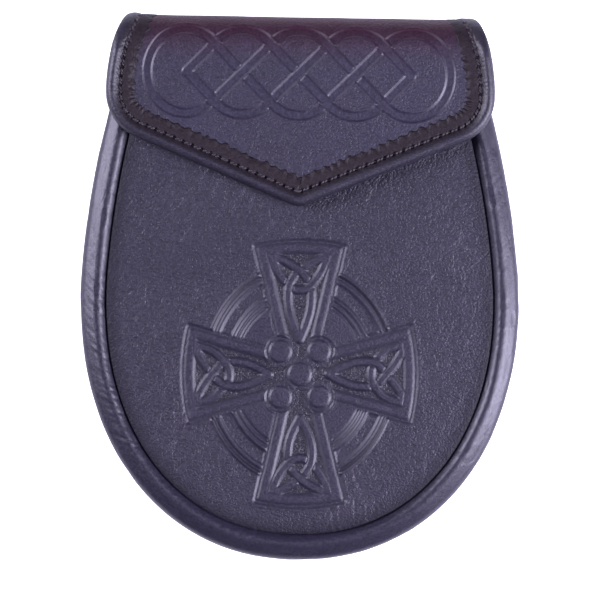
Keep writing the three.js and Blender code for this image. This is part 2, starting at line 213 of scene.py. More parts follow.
def arc(centre_x, centre_y, radius_x, radius_y, start, end, steps):
    """Points along part of an ellipse, between two angles in degrees."""
    angle = np.radians(np.linspace(start, end, steps + 1))
    return np.column_stack([centre_x + radius_x * np.cos(angle), centre_y + radius_y * np.sin(angle)])


def bend_between(p0, p1, p2, p3, t):
    """Points from p1 to p2 on the smooth curve that also heeds the points on either side."""
    return 0.5 * (
        2 * p1
        + (p2 - p0) * t
        + (2 * p0 - 5 * p1 + 4 * p2 - p3) * t**2
        + (3 * p1 - p0 - 3 * p2 + p3) * t**3
    )


def curve_through(points, steps=8):
    """A smooth open line through points."""
    points = np.asarray(points, float)
    points = np.vstack([2 * points[0] - points[1], points, 2 * points[-1] - points[-2]])
    t = np.linspace(0, 1, steps, endpoint=False)[:, None]
    parts = [bend_between(*four, t) for four in zip(points, points[1:], points[2:], points[3:])]
    return np.vstack([*parts, points[-2:-1]])


def smooth_ring(points, count):
    """A closed smooth curve through points, with count points spaced by each point's weight."""
    points = np.asarray(points, float)
    number = len(points)
    t = np.linspace(0, 1, 24, endpoint=False)[:, None]
    fine = []
    for i in range(number):
        p0, p1, p2, p3 = (points[(i + k) % number] for k in (-1, 0, 1, 2))
        bend = bend_between(p0, p1, p2, p3, t)
        bend[:, 2] = p1[2] + (p2[2] - p1[2]) * t[:, 0]
        fine.append(bend)
    fine = np.vstack(fine)
    step = np.hypot(*(np.roll(fine, -1, axis=0) - fine)[:, :2].T) * fine[:, 2]
    run = np.concatenate([[0.0], np.cumsum(step)])
    ring = np.vstack([fine, fine[:1]])
    at = np.linspace(0.0, run[-1], count, endpoint=False)
    return np.column_stack([np.interp(at, run, ring[:, k]) for k in range(2)])


def with_underside(masks, columns, full=()):
    """Masks of an outer face carried on over its underside, at 1 there if named in full, else at 0."""
    return {
        name: np.pad(face, ((0, 0), (0, columns)), constant_values=float(name in full))
        for name, face in masks.items()
    }


def sweep_skin(name, rings, masks):
    """A closed skin over rings of points, shaped from a grid whose two long edges are welded.

    rings is rings x points x 3 in millimetres; masks are named values for each of those points."""
    rows, around, _ = rings.shape
    mesh_build = bmesh.new()
    bmesh.ops.create_grid(mesh_build, x_segments=around, y_segments=rows - 1, size=1.0)
    wrapped = np.concatenate([rings, rings[:, :1]], axis=1).reshape(-1, 3) * MM
    for vert, place in zip(mesh_build.verts, wrapped.tolist()):
        vert.co = place
    for key, mask in masks.items():
        layer = mesh_build.verts.layers.float.new(key)
        values = np.concatenate([mask, mask[:, :1]], axis=1).ravel()
        for vert, value in zip(mesh_build.verts, values.tolist()):
            vert[layer] = value
    bmesh.ops.remove_doubles(mesh_build, verts=mesh_build.verts, dist=1e-7)
    bmesh.ops.holes_fill(mesh_build, edges=mesh_build.edges, sides=0)
    bmesh.ops.recalc_face_normals(mesh_build, faces=mesh_build.faces)
    return finish_mesh(name, mesh_build)


def placed_object(name, data):
    """A new object in the scene, for a mesh, a light or a camera."""
    made = bpy.data.objects.new(name, data)
    bpy.context.scene.collection.objects.link(made)
    return made


def finish_mesh(name, mesh_build, smooth=True):
    """An object of that name, made from a finished bmesh."""
    mesh = bpy.data.meshes.new(name)
    mesh_build.to_mesh(mesh)
    mesh_build.free()
    mesh.polygons.foreach_set("use_smooth", [smooth] * len(mesh.polygons))
    return placed_object(name, mesh)


def dress(piece, material, slot, *nodes):
    """Gives a piece its material and its place in the frame."""
    piece.data.materials.append(material)
    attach(piece, "root")
    if nodes:
        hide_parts(*nodes)


# Section of the gusset's wall: the outside from the back flange round the roll to the front flange,
# then the inside back again. weight sets how closely its points lie.
GUSSET_SECTION = (
    # inset, height, weight
    (16.0, 8.95, 0.2), (10.9, 8.9, 0.5), (10.35, 8.2, 0.6), (10.1, 3.4, 0.6), (9.3, 1.0, 0.7),
    (7.4, 0.1, 0.6), (3.6, 0.1, 0.6), (1.5, 1.0, 0.7), (0.35, 3.4, 0.7), (0.0, 8.0, 0.5),
    (0.0, 16.5, 0.4), (0.0, 25.0, 0.6), (0.2, 28.2, 1.0), (0.8, 30.0, 1.3), (1.8, 31.15, 1.3),
    (3.2, 32.05, 1.3), (4.6, 32.9, 1.3), (5.8, 33.35, 1.3), (7.0, 33.4, 1.3), (8.1, 33.0, 1.3),
    (9.0, 32.2, 1.3), (9.8, 31.2, 1.2), (10.5, 30.3, 1.0), (11.0, 29.9, 0.6), (11.8, 29.7, 0.4),
    (16.0, 29.2, 0.2), (16.0, 27.3, 0.15), (9.0, 27.2, 0.15), (8.0, 30.8, 0.15), (5.2, 31.5, 0.15),
    (3.4, 30.9, 0.15), (2.0, 26.6, 0.15), (2.0, 8.0, 0.15), (3.6, 2.4, 0.15), (7.6, 2.4, 0.15),
    (8.4, 10.8, 0.15), (16.0, 10.8, 0.15),
)


GUSSET_AROUND = 96
OUTLINE_LENGTH = 470.0
# Gathers and waves of the gusset's leather
GATHER_HEIGHT = 0.21
SWELL_HEIGHT = 0.2
BACK_GATHER_HEIGHT = 0.12
CREASE_DEPTH = 0.55
WALL_WAVE = 0.8


def gusset_rings(rows):
    """Rings of the gusset with their gathers, and masks for the folds and for the painted light in the
    crevice by the seam.
    """
    inset, height = smooth_ring(GUSSET_SECTION, GUSSET_AROUND).T[:, None]
    outline = body_outline(GUSSET_TOP_Y, rows - 1)
    inward = line_inward(outline)
    x, y = outline.T
    run = np.linspace(0, 1, rows)[:, None] * OUTLINE_LENGTH
    side = np.where(x < 0, -1.0, 1.0)[:, None]
    noise = Noise(SEED)
    outside = np.arange(GUSSET_AROUND) < np.argmax(inset * (height > 28.5))
    front = smoothstep(27.0, 31.5, height) * (inset < 10.6)
    back = smoothstep(8.0, 4.0, height) * (inset < 10.4)
    lean = run + 0.9 * inset * side
    gather = noise(lean / 1.5, inset / 6.0) * 0.6 + noise(lean / 0.8, inset / 4.0 + 9.0) * 0.4
    swell = noise(run / 13.0, inset / 5.0) * 0.6 + noise(run / 31.0, inset / 9.0 + 5.0) * 0.5
    # the gathers crowd where the outline turns on the lower left, and near the seam
    turning = smoothstep(25.0, -25.0, y) * smoothstep(-88.0, -55.0, y)
    crowded = 0.3 + 0.7 * turning * smoothstep(10.0, -55.0, x)
    pulled = crowded[:, None] * (0.5 + 0.9 * smoothstep(3.0, 7.0, inset))
    lift = front * (GATHER_HEIGHT * gather * pulled + SWELL_HEIGHT * swell)
    lift = lift + back * BACK_GATHER_HEIGHT * gather
    crease = np.maximum(noise(run / 9.0, inset / 2.2 + 3.0) - 0.55, 0.0) * front * CREASE_DEPTH
    wall = smoothstep(3.0, 9.0, height) * smoothstep(31.0, 25.0, height) * (inset < 1.5)
    drag = 0.45 * noise(run / 26.0, height / 16.0) + 0.18 * noise(run / 7.0, height / 9.0)
    inset = inset + np.where(outside, wall * np.maximum(drag, -0.1) * WALL_WAVE, 0.0)
    height = height + np.where(outside, lift - crease, 0.0) * (height > 2.0)
    along_x, along_y = outline.T[:, :, None] + inset * inward.T[:, :, None]
    rings = points_at(along_x, along_y, np.maximum(height, TABLE_CLEARANCE))
    # Mask for painted light: a lighter colour in the crevice by the seam, against the shade that falls
    # there.
    seam_painted_shading = smoothstep(9.7, 10.7, inset) * (height > 26)
    return rings, {"seam_painted_shading": seam_painted_shading, "ridge": np.broadcast_to(front, seam_painted_shading.shape)}


def seam_half_width(inset):
    """The right half of a line inset from the outline, from its foot up: half widths and y."""
    outline = body_outline(GUSSET_TOP_Y + 6, 2400)
    line = outline + line_inward(outline) * inset
    return line[line[:, 0] >= 0].T


# Raised ringed cross, measured from its centre
CROSS_Y = -34.8
BOSS_X = 7.65
BOSS_Y = 9.0
BOSS_RADIUS = 4.35
CENTRE_BOSS_RADIUS = 4.5
BAND = 3.4
FIELD_DEPTH = 0.75
FILLET_HEIGHT = 0.22
GROOVE_DEPTH = 0.65
MOAT_DEPTH = 0.55
RING_X = 37.6
RING_Y = 43.0
RING_LINES = (
    # inset from the ring's edge, half_width, height: fillet, groove, inner band's ridge and two grooves
    (0.0, 0.8, 0.75),
    (1.3, 0.85, -0.9),
    (9.1, 0.6, 0.2),
    (10.4, 0.75, -0.8),
    (12.4, 0.8, -0.9),
)
CHANNEL_START = 3.2
CHANNEL_END = 8.75
CHANNEL_DEPTH = 0.75
ARM_END_BOW = 1.9
ARM_END_HALF_WIDTH = 17.0
ARMS = (
    # reach, waist, flare, start, turn
    (51.2, 8.5, 0.235, 15.2, 0),
    (50.9, 8.5, 0.235, 15.2, 180),
    (45.0, 9.7, 0.27, 12.5, 90),
    (44.6, 9.7, 0.27, 12.5, -90),
)
KNOT_LEVELS = (
    # point, crown, crossing, corner, across: how far out each part of an arm's knot lies, and its width
    (13.6, 33.0, 40.2, 46.2, 0.97),
    (17.3, 33.0, 40.5, 46.6, 1.0),
    (12.0, 27.6, 34.0, 40.9, 1.04),
    (11.3, 28.0, 33.6, 41.2, 1.06),
)
KNOT_HALF_WIDTH = 1.4
KNOT_CORNER_REACH = 4.6
# Two of a knot's strands mirror each other and the third joins the two corners
KNOT_SIDE = (
    # across, level: 0 point, 1 crown, 2 crossing, 3 corner
    (0.0, 0.0), (-2.3, 0.27), (-4.1, 0.56), (-4.75, 0.85), (-4.2, 1.28), (-2.5, 1.7), (0.0, 2.06),
    (3.6, 2.48), (7.4, 2.8), (11.1, 3.0),
)
KNOT_CROWN = (
    # across, level
    (-11.1, 3.0), (-9.0, 2.1), (-6.1, 1.5), (-2.8, 1.1), (0.0, 1.0), (2.8, 1.1), (6.1, 1.5),
    (9.0, 2.1), (11.1, 3.0),
)


def turned(x, y, degrees):
    """Points turned anticlockwise about the origin."""
    c, s = math.cos(math.radians(degrees)), math.sin(math.radians(degrees))
    return c * x - s * y, s * x + c * y


def arm_distance(x, y, arm):
    """Signed distance inside one arm's outline, with its curved end; far outside near the centre."""
    reach, waist, flare, start, turn = arm
    u, v = turned(x, y, -turn)
    side = (waist + flare * (v - start) - np.abs(u)) / math.hypot(1, flare)
    end = reach - ARM_END_BOW * (u / ARM_END_HALF_WIDTH) ** 2 - v
    return np.where(v > 4.0, np.minimum(side, end), -50.0)


def woven_distance(x, y, strands, reach, covers):
    """Distance to the nearest strand that isn't hidden under another at that point.

    covers(near, slope) says, for each strand, where it runs under another."""
    distance = np.empty((len(strands),) + x.shape)
    slope = np.empty((len(strands),) + x.shape)
    for k, line in enumerate(strands):
        distance[k], nearest = distance_to_line(x, y, line)
        step = np.diff(line, axis=0)
        slope[k] = (step[:, 0] * step[:, 1])[nearest]
    hidden = covers(distance < reach, slope)
    return np.where(hidden, FAR, distance).min(axis=0)


def knot_strands(levels):
    """The three strands of one arm's knot: left side, right side and crown."""
    *levels, across = levels
    strands = []
    for table, mirror in ((KNOT_SIDE, 1), (KNOT_SIDE, -1), (KNOT_CROWN, 1)):
        u, level = np.array(table).T
        line = np.column_stack([u * across * mirror, np.interp(level, range(4), levels)])
        strands.append(curve_through(line))
    return strands


def knot_cover(x, y, strands):
    """The right side runs over the left, the crown over the right, and the left over the crown."""
    ends = np.array([line[i] for line in strands for i in (0, -1)])
    corner = np.min([np.hypot(x - ex, y - ey) for ex, ey in ends], axis=0) < KNOT_CORNER_REACH

    def covers(near, slope):
        left, right, crown = near
        return np.stack([right, crown, left]) & ~corner

    return covers


def cross_height(x, y):
    """Height of the tooled cross over the panel, and masks for its smooth and stippled leather."""
    y = y - CROSS_Y
    arm_depth = np.max([arm_distance(x, y, arm) for arm in ARMS], axis=0)
    radius = np.hypot(x / RING_X, y / RING_Y) * (RING_X + RING_Y) / 2
    ring_edge = (RING_X + RING_Y) / 2 - radius
    # ring between the arms: tooled lines, a hollow channel and the slightly sunk fields inside it
    in_ring = (ring_edge > -1.2) & (arm_depth < -0.9)
    channel = smoothstep(CHANNEL_START, CHANNEL_START + 0.55, ring_edge)
    channel = channel * smoothstep(CHANNEL_END, CHANNEL_END - 0.55, ring_edge)
    hollow = CHANNEL_DEPTH + 0.1 * np.clip(1 - ((ring_edge - 6.0) / 2.6) ** 2, 0, 1)
    ring_profile = -channel * hollow - 0.15 * smoothstep(12.0, 12.6, ring_edge)
    for inset, half_width, rise in RING_LINES:
        ring_profile += rise * bump_of(ring_edge - inset, half_width)
    fade = smoothstep(-1.2, -1.9, arm_depth)
    height = softened(np.where(in_ring, ring_profile * fade, 0.0), 1)
    plain = smoothstep(1.6, 2.0, ring_edge) * (1 - 0.75 * channel)
    smooth = np.where(in_ring, plain * fade, 0.0)
    # arms: fillet line outside the ring, groove, smooth band and stippled field
    beyond = smoothstep(1.0, -0.6, ring_edge)
    arm_profile = (
        FILLET_HEIGHT * bump_of(arm_depth + 2.3, 1.2) * beyond
        - GROOVE_DEPTH * bump_of(arm_depth + 0.6 + 0.3 * beyond, 0.85 + 0.25 * beyond)
        - FIELD_DEPTH * smoothstep(BAND - 0.35, BAND + 0.55, arm_depth)
    )
    height += softened(arm_profile, 3)
    band = smoothstep(-0.3, 0.2, arm_depth) * smoothstep(BAND + 0.3, BAND, arm_depth)
    smooth = np.maximum(smooth, band)
    stipple = smoothstep(BAND, BAND + 0.5, arm_depth)
    for arm, levels in zip(ARMS, KNOT_LEVELS):
        u, v = turned(x, y, -arm[4])
        near = (np.abs(u) < 15.0) & (v > levels[0] - 3) & (v < levels[3] + 3)
        strands = knot_strands(levels)
        distance = np.full(x.shape, FAR)
        distance[near] = woven_distance(
            u[near], v[near], strands, KNOT_HALF_WIDTH + 0.4, knot_cover(u[near], v[near], strands)
        )
        ribbon = smoothstep(KNOT_HALF_WIDTH + 0.45, KNOT_HALF_WIDTH - 0.4, distance)
        inside_frame = smoothstep(BAND - 0.2, BAND + 0.3, arm_depth)
        height += ribbon * FIELD_DEPTH * inside_frame
        stipple = stipple * (1 - ribbon)
        smooth = np.maximum(smooth, ribbon * (arm_depth > 0))
    bosses = [(0.0, 0.0, CENTRE_BOSS_RADIUS)]
    bosses += [(sx * BOSS_X, sy * BOSS_Y, BOSS_RADIUS) for sx in (-1, 1) for sy in (-1, 1)]
    for centre_x, centre_y, radius in bosses:
        away = np.hypot(x - centre_x, y - centre_y)
        disc = smoothstep(radius + 0.25, radius - 0.45, away)
        cleared = smoothstep(radius + 1.75, radius + 1.25, away)
        moat = cleared * (1 - disc)
        rim = bump_of(away - radius - 2.0, 0.55) * (centre_x != 0.0)
        dish = 0.12 * (1 - (away / radius) ** 2)
        height = (height + 0.25 * rim) * (1 - cleared) - MOAT_DEPTH * moat + disc * (0.05 + dish)
        stipple = stipple * (1 - cleared)
        smooth = np.maximum(smooth * (1 - moat), disc)
    return height, stipple, smooth


# Mesh of the front panel: fine rows and columns over the cross, wider ones beyond it
FINE_BELOW = 54.6
FINE_ABOVE = 54.8
PANEL_ROW_STEP = 0.365
PANEL_MIDDLE_SHARE = 0.665
PANEL_MIDDLE_COLUMNS = 250
# The panel sinks towards its seam over one width, and drops at its very edge over another
PANEL_SINK = 0.9
PANEL_ROLL_WIDTH = 9.2
PANEL_LIP_WIDTH = 1.6
PANEL_UNDER_COLUMNS = 5
PANEL_UNDER_Z = 29.45
SEAM_SHADE_WIDTH = 6.0


def panel_rings():
    """Rows of the front panel from the mouth to the foot: a fine face, and a plain underside."""
    seam_x, seam_y = seam_half_width(PANEL_INSET)
    fine = np.arange(CROSS_Y - FINE_BELOW, CROSS_Y + FINE_ABOVE, PANEL_ROW_STEP)
    below = seam_y[0] + np.geomspace(0.02, fine[0] - seam_y[0], 15)[:-1]
    above = np.linspace(fine[-1] + 0.8, MOUTH_Y, 32)
    rows_y = np.concatenate([below, fine, above])[::-1]
    width = np.interp(rows_y, seam_y, seam_x)[:, None]
    middle = np.linspace(-PANEL_MIDDLE_SHARE, PANEL_MIDDLE_SHARE, PANEL_MIDDLE_COLUMNS)
    edge = 1 - (1 - PANEL_MIDDLE_SHARE) * np.linspace(1, 0, 14)[1:] ** 1.7
    across = np.concatenate([-edge[::-1], middle, edge])
    x = width * across
    y = np.broadcast_to(rows_y[:, None], x.shape)
    right = np.column_stack([seam_x, seam_y])[::12]
    from_edge, _ = distance_to_line(np.abs(x).ravel(), y.ravel(), right)
    from_edge = from_edge.reshape(x.shape)
    roll = np.clip(1 - from_edge / PANEL_ROLL_WIDTH, 0, 1)
    lip = np.clip(1 - from_edge / PANEL_LIP_WIDTH, 0, 1)
    z = PLATEAU_Z - PANEL_SINK - 0.2 * roll**2 - 0.3 * lip**2
    cross, stipple, smooth = cross_height(x, y)
    cross = softened(cross, 1)
    tooled = burnished(cross, x, y)
    noise = Noise(SEED + 1)
    z = z + cross + 0.16 * noise(x / 21.0, y / 17.0) + 0.05 * noise(x / 6.0, y / 6.0)
    under_x = width * np.linspace(1, -1, PANEL_UNDER_COLUMNS)
    under_edge = np.clip(1 - (width - np.abs(under_x)) / PANEL_ROLL_WIDTH, 0, 1)
    under = points_at(under_x, rows_y[:, None], PANEL_UNDER_Z + 1.2 * (1 - under_edge))
    # Mask for painted shade: the panel darkens towards its seam, where the gusset's roll shades it.
    seam_painted_shading = np.clip(1 - from_edge / SEAM_SHADE_WIDTH, 0, 1)
    masks = {"stipple": stipple, "smooth": smooth, "tooled": tooled, "seam_painted_shading": seam_painted_shading}
    rings = np.concatenate([points_at(x, y, z), under], axis=1)
    return rings, with_underside(masks, PANEL_UNDER_COLUMNS)


def on_flap(x, along, offset):
    """Places flat points of the flap: x across, along its length, and offset out from its middle."""
    past = along - FOLD_Y
    front_arc = FRONT_BEND * math.pi / 2
    back_arc = BACK_BEND * math.pi / 2
    fold_top = FOLD_Y + FRONT_BEND
    y = along - FRONT_SLOPE * offset
    z = FRONT_Z + FRONT_SLOPE * past + offset
    angle = past / FRONT_BEND
    bending = past > 0
    y = np.where(bending, FOLD_Y + (FRONT_BEND + offset) * np.sin(angle), y)
    z = np.where(bending, FRONT_Z - FRONT_BEND + (FRONT_BEND + offset) * np.cos(angle), z)
    rising = past > front_arc
    y = np.where(rising, fold_top + offset, y)
    z = np.where(rising, FRONT_Z - FRONT_BEND - (past - front_arc), z)
    angle = (past - front_arc - RISE) / BACK_BEND
    turning = past > front_arc + RISE
    y = np.where(turning, fold_top - BACK_BEND + (BACK_BEND + offset) * np.cos(angle), y)
    z = np.where(turning, BACK_Z + BACK_BEND - (BACK_BEND + offset) * np.sin(angle), z)
    back = past - front_arc - RISE - back_arc
    flat = back > 0
    y = np.where(flat, fold_top - BACK_BEND - back, y)
    z = np.where(flat, BACK_Z - offset, z)
    # only the front hangs a little askew
    askew = smoothstep(9.0, 26.0, z)
    tilt = FLAP_TILT * askew
    return points_at(x + FLAP_SHIFT * askew - (y - TILT_Y) * tilt, y + x * tilt, z)


def flap_edge(count):
    """The flap's outer edge from its right back end, round the tip, to its left back end."""
    side = np.array(FLAP_SIDE)
    slope = math.tan(LOWER_EDGE_ANGLE)
    sweep = math.pi / 2 - LOWER_EDGE_ANGLE
    corner_along = TIP_Y + FLAP_HALF_WIDTH * slope + CORNER_RADIUS * math.tan(sweep / 2)
    degrees = math.degrees(sweep)
    corner_x = FLAP_HALF_WIDTH - CORNER_RADIUS
    corner = arc(corner_x, corner_along, CORNER_RADIUS, CORNER_RADIUS, 0, -degrees, 60)
    tip_centre = TIP_Y + TIP_RADIUS / math.cos(LOWER_EDGE_ANGLE)
    tip = arc(0, tip_centre, TIP_RADIUS, TIP_RADIUS, -degrees, -90, 30)
    right = resample(np.vstack([side[side[:, 1] > corner_along], corner, tip]), 1200)
    smooth = right.copy()
    for _ in range(60):
        smooth[1:-1] = (smooth[:-2] + 2 * smooth[1:-1] + smooth[2:]) / 4
    both = np.vstack([smooth, (smooth * [-1, 1])[::-1][1:]])
    return resample(both, count)


# Interlace on the flap: five loops between two rows of arcs
LACE_X = -0.7
LACE_Y = 82.7
LACE_TURN = 0.35
LACE_PITCH = 22.1
LACE_HALF_HEIGHT = 16.4
LACE_BEND = 13.9
LACE_END = 15.1
LACE_HALF_WIDTH = 1.75
LACE_DEPTH = 0.5
LACE_LIP = 0.14
LACE_POINT_REACH = 12.0
LACE_HALF_LENGTH = 63.0
# The middle row of crossings lies within one height of the centre, and strands cross below the other
LACE_MIDDLE = 4.4
LACE_CROSSED = 13.6


def lace_strands():
    """Middle lines of the interlace's strands, about its own centre."""

    def half(k, upper, rightward):
        """Half of an arc, from its crest down to where its strand runs straight."""
        crest_x = (k - 3) * LACE_PITCH
        sign = 1 if upper else -1
        crest_y = sign * LACE_HALF_HEIGHT
        points = arc(crest_x, crest_y - sign * LACE_BEND, LACE_BEND, sign * LACE_BEND, 90, 45, 8)
        if not rightward:
            points[:, 0] = 2 * crest_x - points[:, 0]
        return points

    strands = []
    for k in (1, 2, 3):
        for upper in (True, False):
            strands.append(np.vstack([half(k, upper, True), half(k + 2, not upper, False)[::-1]]))
    for k, rightward in ((4, True), (2, False)):
        upper = half(k, True, rightward)
        lower = half(k, False, rightward)[::-1]
        reach = LACE_POINT_REACH if rightward else -LACE_POINT_REACH
        point = np.array([[upper[-1, 0] + reach, 0.0]])
        strands.append(np.vstack([upper, point, lower]))
    for k, start, end in ((5, 90, -90), (1, 90, 270)):
        strands.append(arc((k - 3) * LACE_PITCH, 0, LACE_END, LACE_HALF_HEIGHT, start, end, 32))
    return strands


def lace_cover(y):
    """Falling strands pass over in the outer rows of crossings, rising ones in the middle row."""

    def covers(near, slope):
        over = (slope < 0) ^ (np.abs(y) < LACE_MIDDLE)[None]
        on_top = near & over
        return ~over & on_top.any(axis=0)[None] & (np.abs(y) < LACE_CROSSED)[None]

    return covers


# Mesh of the flap: fine rows over the interlace, and most columns inside the binding
LACE_ROW_STEP = 0.37
LACE_ROW_REACH = 20.5
FLAP_MIDDLE_SHARE = 0.86
FLAP_MIDDLE_COLUMNS = 350
FLAP_EDGE_INSET = 2.6
FLAP_UNDER_COLUMNS = 9


def flap_rings():
    """Rows of the flap from its tip over the fold to its end on the back: outer face, then inner face."""
    edge = flap_edge(2400)
    inside = (edge - line_inward(edge) * FLAP_EDGE_INSET)[: len(edge) // 2 + 1]
    inside = inside[inside[:, 0] > 0.4]
    inside = inside[np.argsort(inside[:, 1])]
    tip = inside[0, 1]
    fine = np.arange(LACE_Y - LACE_ROW_REACH, LACE_Y + LACE_ROW_REACH, LACE_ROW_STEP)
    below = tip + np.geomspace(0.05, fine[0] - tip, 34)[:-1]
    over_fold = np.arange(fine[-1] + 0.6, FLAP_SIDE[0][1], 1.2)
    tongue_rows = np.linspace(FLAP_SIDE[0][1] + 0.5, FLAP_END, 16)
    rows = np.concatenate([below, fine, over_fold, tongue_rows])
    half_width, known = np.vstack([inside, FLAP_TONGUE]).T
    width = np.interp(rows, known, half_width)
    middle = np.linspace(-FLAP_MIDDLE_SHARE, FLAP_MIDDLE_SHARE, FLAP_MIDDLE_COLUMNS)
    edge_share = np.linspace(FLAP_MIDDLE_SHARE, 1.0, 8)[1:]
    share = np.concatenate([-edge_share[::-1], middle, edge_share])
    x = width[:, None] * share
    along = np.broadcast_to(rows[:, None], x.shape)
    zone = (np.abs(along - LACE_Y) < LACE_ROW_REACH - 0.1) & (np.abs(x - LACE_X) < LACE_HALF_LENGTH)
    distance = np.full(x.shape, FAR)
    lace_x, lace_y = turned(x[zone] - LACE_X, along[zone] - LACE_Y, LACE_TURN)
    distance[zone] = woven_distance(
        lace_x, lace_y, lace_strands(), LACE_HALF_WIDTH + 0.4, lace_cover(lace_y)
    )
    ribbon = smoothstep(LACE_HALF_WIDTH + 0.2, LACE_HALF_WIDTH - 0.25, distance)
    lip = bump_of(distance - LACE_HALF_WIDTH - 0.45, 0.55)
    noise = Noise(SEED + 2)
    relief = softened(LACE_LIP * lip - LACE_DEPTH * ribbon, 1)
    tooled = burnished(relief, x, along)
    relief = relief + 0.05 * noise(x / 5.0, along / 5.0) + 0.12 * noise(x / 23.0, along / 19.0)
    top = on_flap(x, along, FLAP_HALF_THICK + relief)
    under_x = width[:, None] * np.linspace(1, -1, FLAP_UNDER_COLUMNS)
    rings = np.concatenate([top, on_flap(under_x, rows[:, None], -FLAP_HALF_THICK)], axis=1)
    masks = {"smooth": ribbon, "tooled": tooled, "fold": smoothstep(84.0, 108.0, along)}
    return rings, with_underside(masks, FLAP_UNDER_COLUMNS, full=("fold",))


# Section of the binding round the flap's edge: inset from the outer edge, offset from the flap's middle
BINDING_SECTION = (
    # inset, offset, weight
    (10.9, 1.3, 0.6), (10.8, 1.6, 1.2), (10.2, 1.85, 1.4), (9.0, 2.05, 1.0), (7.2, 2.15, 1.0),
    (6.2, 2.15, 1.3), (5.6, 1.95, 1.5), (5.0, 2.2, 1.4), (4.2, 3.0, 1.2), (3.2, 3.7, 1.2),
    (2.2, 3.85, 1.2), (1.1, 3.35, 1.2), (0.3, 2.2, 1.2), (0.0, 0.8, 1.0), (0.05, -0.7, 1.0),
    (0.5, -1.9, 0.9), (1.6, -2.7, 0.7), (3.0, -2.85, 0.5), (7.0, -2.7, 0.5), (7.2, -2.2, 0.5),
    (6.9, -1.45, 0.4), (2.6, -1.4, 0.3), (2.2, 0.0, 0.3), (2.6, 1.35, 0.3),
)
BINDING_AROUND = 72
TOOTH_PITCH = 4.1
TOOTH_DEPTH = 1.1
STITCH_PITCH = 3.9
STITCH_INSET = 5.7
STITCH_HALF_LENGTH = 0.78
HOLE_DEPTH = 0.9
# How far the binding stands off the flap's middle before it rises over the edge
BINDING_FLAT = 1.35
THREAD_OFFSET = 2.15
THREAD_HALF_WIDTH = 0.42
THREAD_HALF_HEIGHT = 0.4
PLY_LEAN = 0.42


def flattened(offset, along):
    """The binding lies flatter where it is stretched over the fold."""
    at_fold = smoothstep(90.0, 99.0, along)
    flat = BINDING_FLAT + (offset - BINDING_FLAT) * (1 - 0.7 * at_fold)
    return np.where(offset > BINDING_FLAT, flat, offset)


def binding_frame(count):
    """The flap's edge, its inward directions and the distance run along it."""
    edge = flap_edge(count)
    inward = -line_inward(edge)
    step = np.hypot(*np.diff(edge, axis=0).T).mean()
    return edge, inward, step * np.arange(len(edge))


def binding_rings(rows):
    """Rings of the binding with its pinked teeth and needle holes, and masks for its leather and for the
    painted shade in its holes.
    """
    edge, inward, run = binding_frame(rows - 1)
    run = run[:, None]
    inset, offset = smooth_ring(BINDING_SECTION, BINDING_AROUND).T[:, None]
    noise = Noise(SEED + 3)
    top = offset > 1.3
    wander = 0.35 * noise(run / 9.0, 8.3)
    tooth = 0.5 - 0.5 * np.cos(2 * math.pi * (run / TOOTH_PITCH + wander))
    ragged = 0.45 * noise(run / 1.7, 3.7) + 0.5 * noise(run / 6.0, 1.7)
    inner = smoothstep(7.6, 10.4, inset) * top
    inset = inset - inner * (TOOTH_DEPTH * tooth + ragged)
    lump = noise(run / 2.6, inset / 2.2) * 0.12 + noise(run / 7.0, inset / 4.0) * 0.12
    field = smoothstep(4.4, 6.0, inset) * top
    offset = flattened(offset + field * np.maximum(lump, -0.25), edge[:, 1:])
    rim = smoothstep(5.0, 3.0, inset) * (offset > -1.0)
    offset += rim * (0.1 * noise(run / 9.0, inset / 3.0))
    stitch = (run / STITCH_PITCH) % 1.0
    # the needle holes dent the binding, and the same mask paints the shade inside them near black
    hole_with_painted_shade = bump_of((stitch - 0.5) * STITCH_PITCH, 1.2) * bump_of(inset - STITCH_INSET, 1.1) * top
    offset -= hole_with_painted_shade * HOLE_DEPTH
    flat_x, flat_along = edge.T[:, :, None] + inset * inward.T[:, :, None]
    masks = {"rim": smoothstep(4.6, 2.6, inset), "hole_with_painted_shade": hole_with_painted_shade, "field": field}
    return on_flap(flat_x, flat_along, offset), masks


def add_stitch(mesh_build, half_length, placed):
    """One leaning ply of thread; placed(along, aside, up) gives the place of its points."""
    made = bmesh.ops.create_uvsphere(mesh_build, u_segments=8, v_segments=6, radius=1.0)
    for vert in made["verts"]:
        along = vert.co.x * half_length
        aside = vert.co.y * THREAD_HALF_WIDTH + along * PLY_LEAN
        vert.co = Vector(placed(along, aside, vert.co.z * THREAD_HALF_HEIGHT)) * MM


def stitch_skin(name):
    """Two-ply stitches, each lying between two holes in the binding."""
    edge, inward, run = binding_frame(4000)
    total = run[-1]
    starts = np.arange(1.5 * STITCH_PITCH, total - 2 * STITCH_PITCH, STITCH_PITCH)
    mesh_build = bmesh.new()
    for start in starts:
        for ply in (0, 1):
            middle = start + STITCH_PITCH * (0.32 + 0.36 * ply)
            i = int(np.clip(middle / total * (len(edge) - 1), 1, len(edge) - 2))
            along = edge[i + 1] - edge[i - 1]
            along = along / np.hypot(*along)
            aside = inward[i]
            base = edge[i] + aside * STITCH_INSET

            def placed(a, b, c):
                flat = base + along * a - aside * b
                return on_flap(*flat, flattened(THREAD_OFFSET + c, base[1]))

            add_stitch(mesh_build, STITCH_HALF_LENGTH, placed)
    bmesh.ops.recalc_face_normals(mesh_build, faces=mesh_build.faces)
    return finish_mesh(name, mesh_build)


